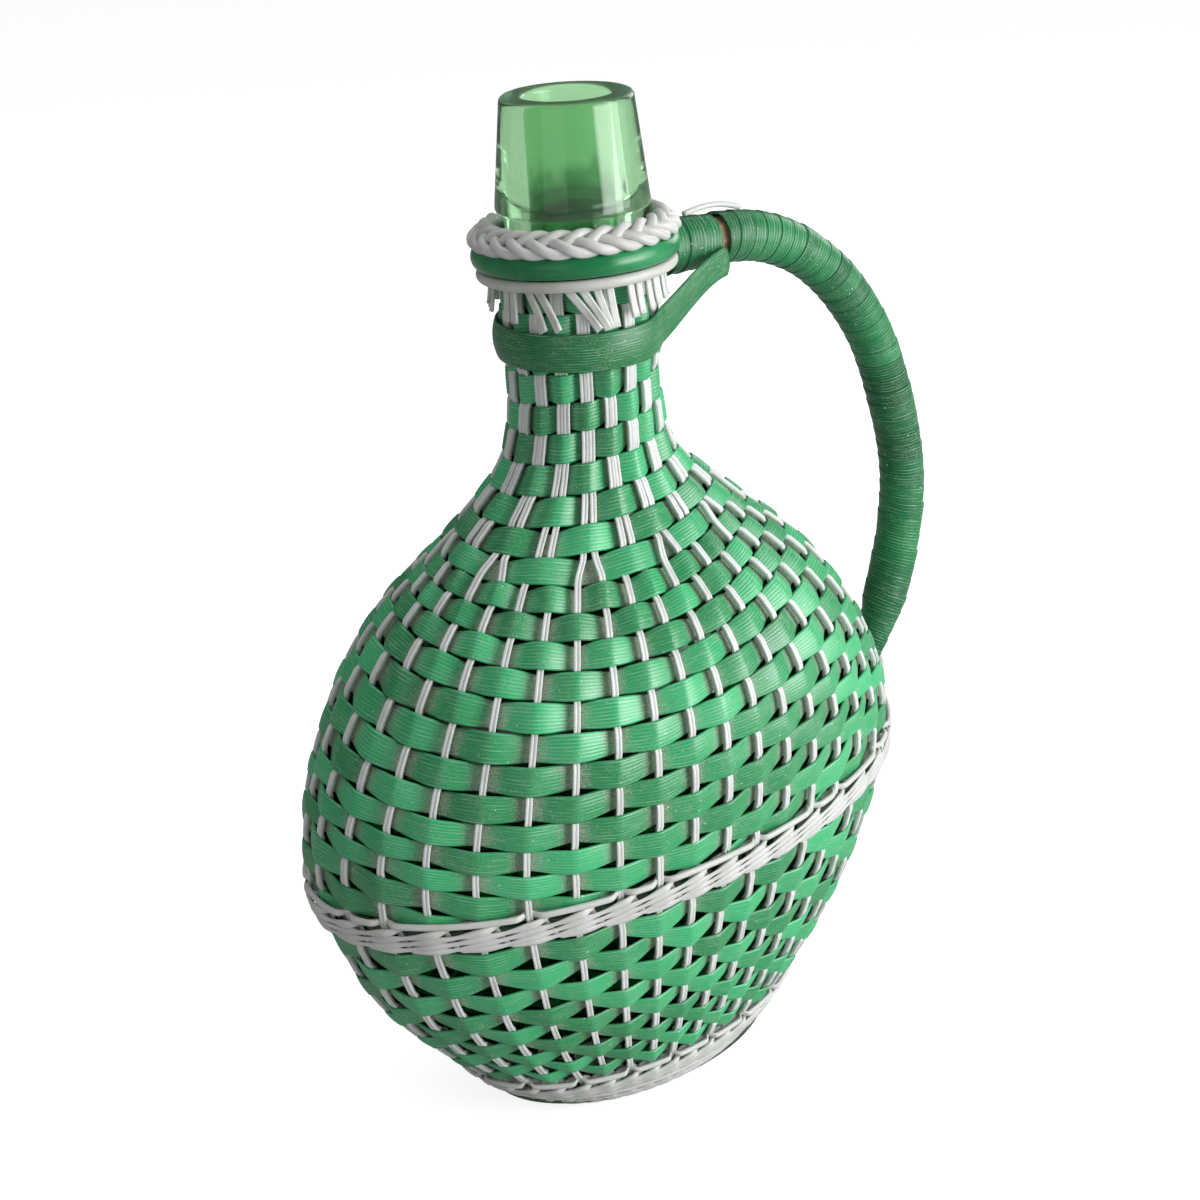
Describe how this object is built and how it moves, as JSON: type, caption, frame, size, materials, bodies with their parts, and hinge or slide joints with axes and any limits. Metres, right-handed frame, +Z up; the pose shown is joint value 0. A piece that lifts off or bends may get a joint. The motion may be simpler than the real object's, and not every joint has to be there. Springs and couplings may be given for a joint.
{
  "type": "wicker-covered demijohn",
  "caption": "Oval green glass demijohn in a woven plastic jacket with white stakes and bands, a plaited neck border and a wound side handle.",
  "frame": {"origin": "centre of the oval foot, on the surface that the demijohn stands on", "axes": "+Z up through the neck; +X towards the handle, along the oval's long axis; +Y across the short axis"},
  "size_m": [0.2484, 0.1356, 0.325],
  "materials": {
    "bottle_glass": "thick green moulded glass, glossy",
    "green_ribbon": "ribbed flat plastic ribbon, satin to glossy, dusty at its edges",
    "green_hoop": "smooth plastic tube, glossy",
    "white_strand": "white plastic cane, satin, faintly ribbed along its length",
    "handle_cane": "bare cane, hidden in the handle's winding"
  },
  "bodies": {
    "root": {"glass_bottle": "bottle_glass", "woven_floor": "white_strand", "stake_frame": "white_strand", "stake_ends": "white_strand", "weave_row_01": "green_ribbon", "weave_row_02": "green_ribbon", "weave_row_03": "green_ribbon", "weave_row_04": "green_ribbon", "weave_row_05": "green_ribbon", "weave_row_06": "green_ribbon", "weave_row_07": "green_ribbon", "weave_row_08": "green_ribbon", "weave_row_09": "green_ribbon", "weave_row_10": "green_ribbon", "weave_row_11": "green_ribbon", "weave_row_12": "green_ribbon", "weave_row_13": "green_ribbon", "weave_row_14": "green_ribbon", "weave_row_15": "green_ribbon", "weave_row_16": "green_ribbon", "weave_row_17": "green_ribbon", "weave_row_18": "green_ribbon", "weave_row_19": "green_ribbon", "weave_row_20": "green_ribbon", "weave_row_21": "green_ribbon", "weave_row_22": "green_ribbon", "weave_row_23": "green_ribbon", "weave_row_24": "green_ribbon", "weave_row_25": "green_ribbon", "weave_row_26": "green_ribbon", "weave_row_27": "green_ribbon", "weave_row_28": "green_ribbon", "weave_row_29": "green_ribbon", "weave_row_30": "green_ribbon", "weave_short_row_1": "green_ribbon", "weave_short_row_2": "green_ribbon", "weave_short_row_3": "green_ribbon", "weave_short_row_4": "green_ribbon", "weave_short_row_5": "green_ribbon", "mid_band_strand_1": "white_strand", "mid_band_strand_2": "white_strand", "mid_band_strand_3": "white_strand", "mid_band_strand_4": "white_strand", "foot_band_strand_1": "white_strand", "foot_band_strand_2": "white_strand", "foot_band_strand_3": "white_strand", "braided_border": "white_strand", "green_hoop": "green_hoop", "white_hoop": "white_strand", "neck_sling": "green_ribbon", "handle_core": "handle_cane", "handle_root_wrap": "green_ribbon", "handle_wrap": "green_ribbon", "keeper_strand": "white_strand", "handle_eyelet": "white_strand"}
  },
  "joints": []
}
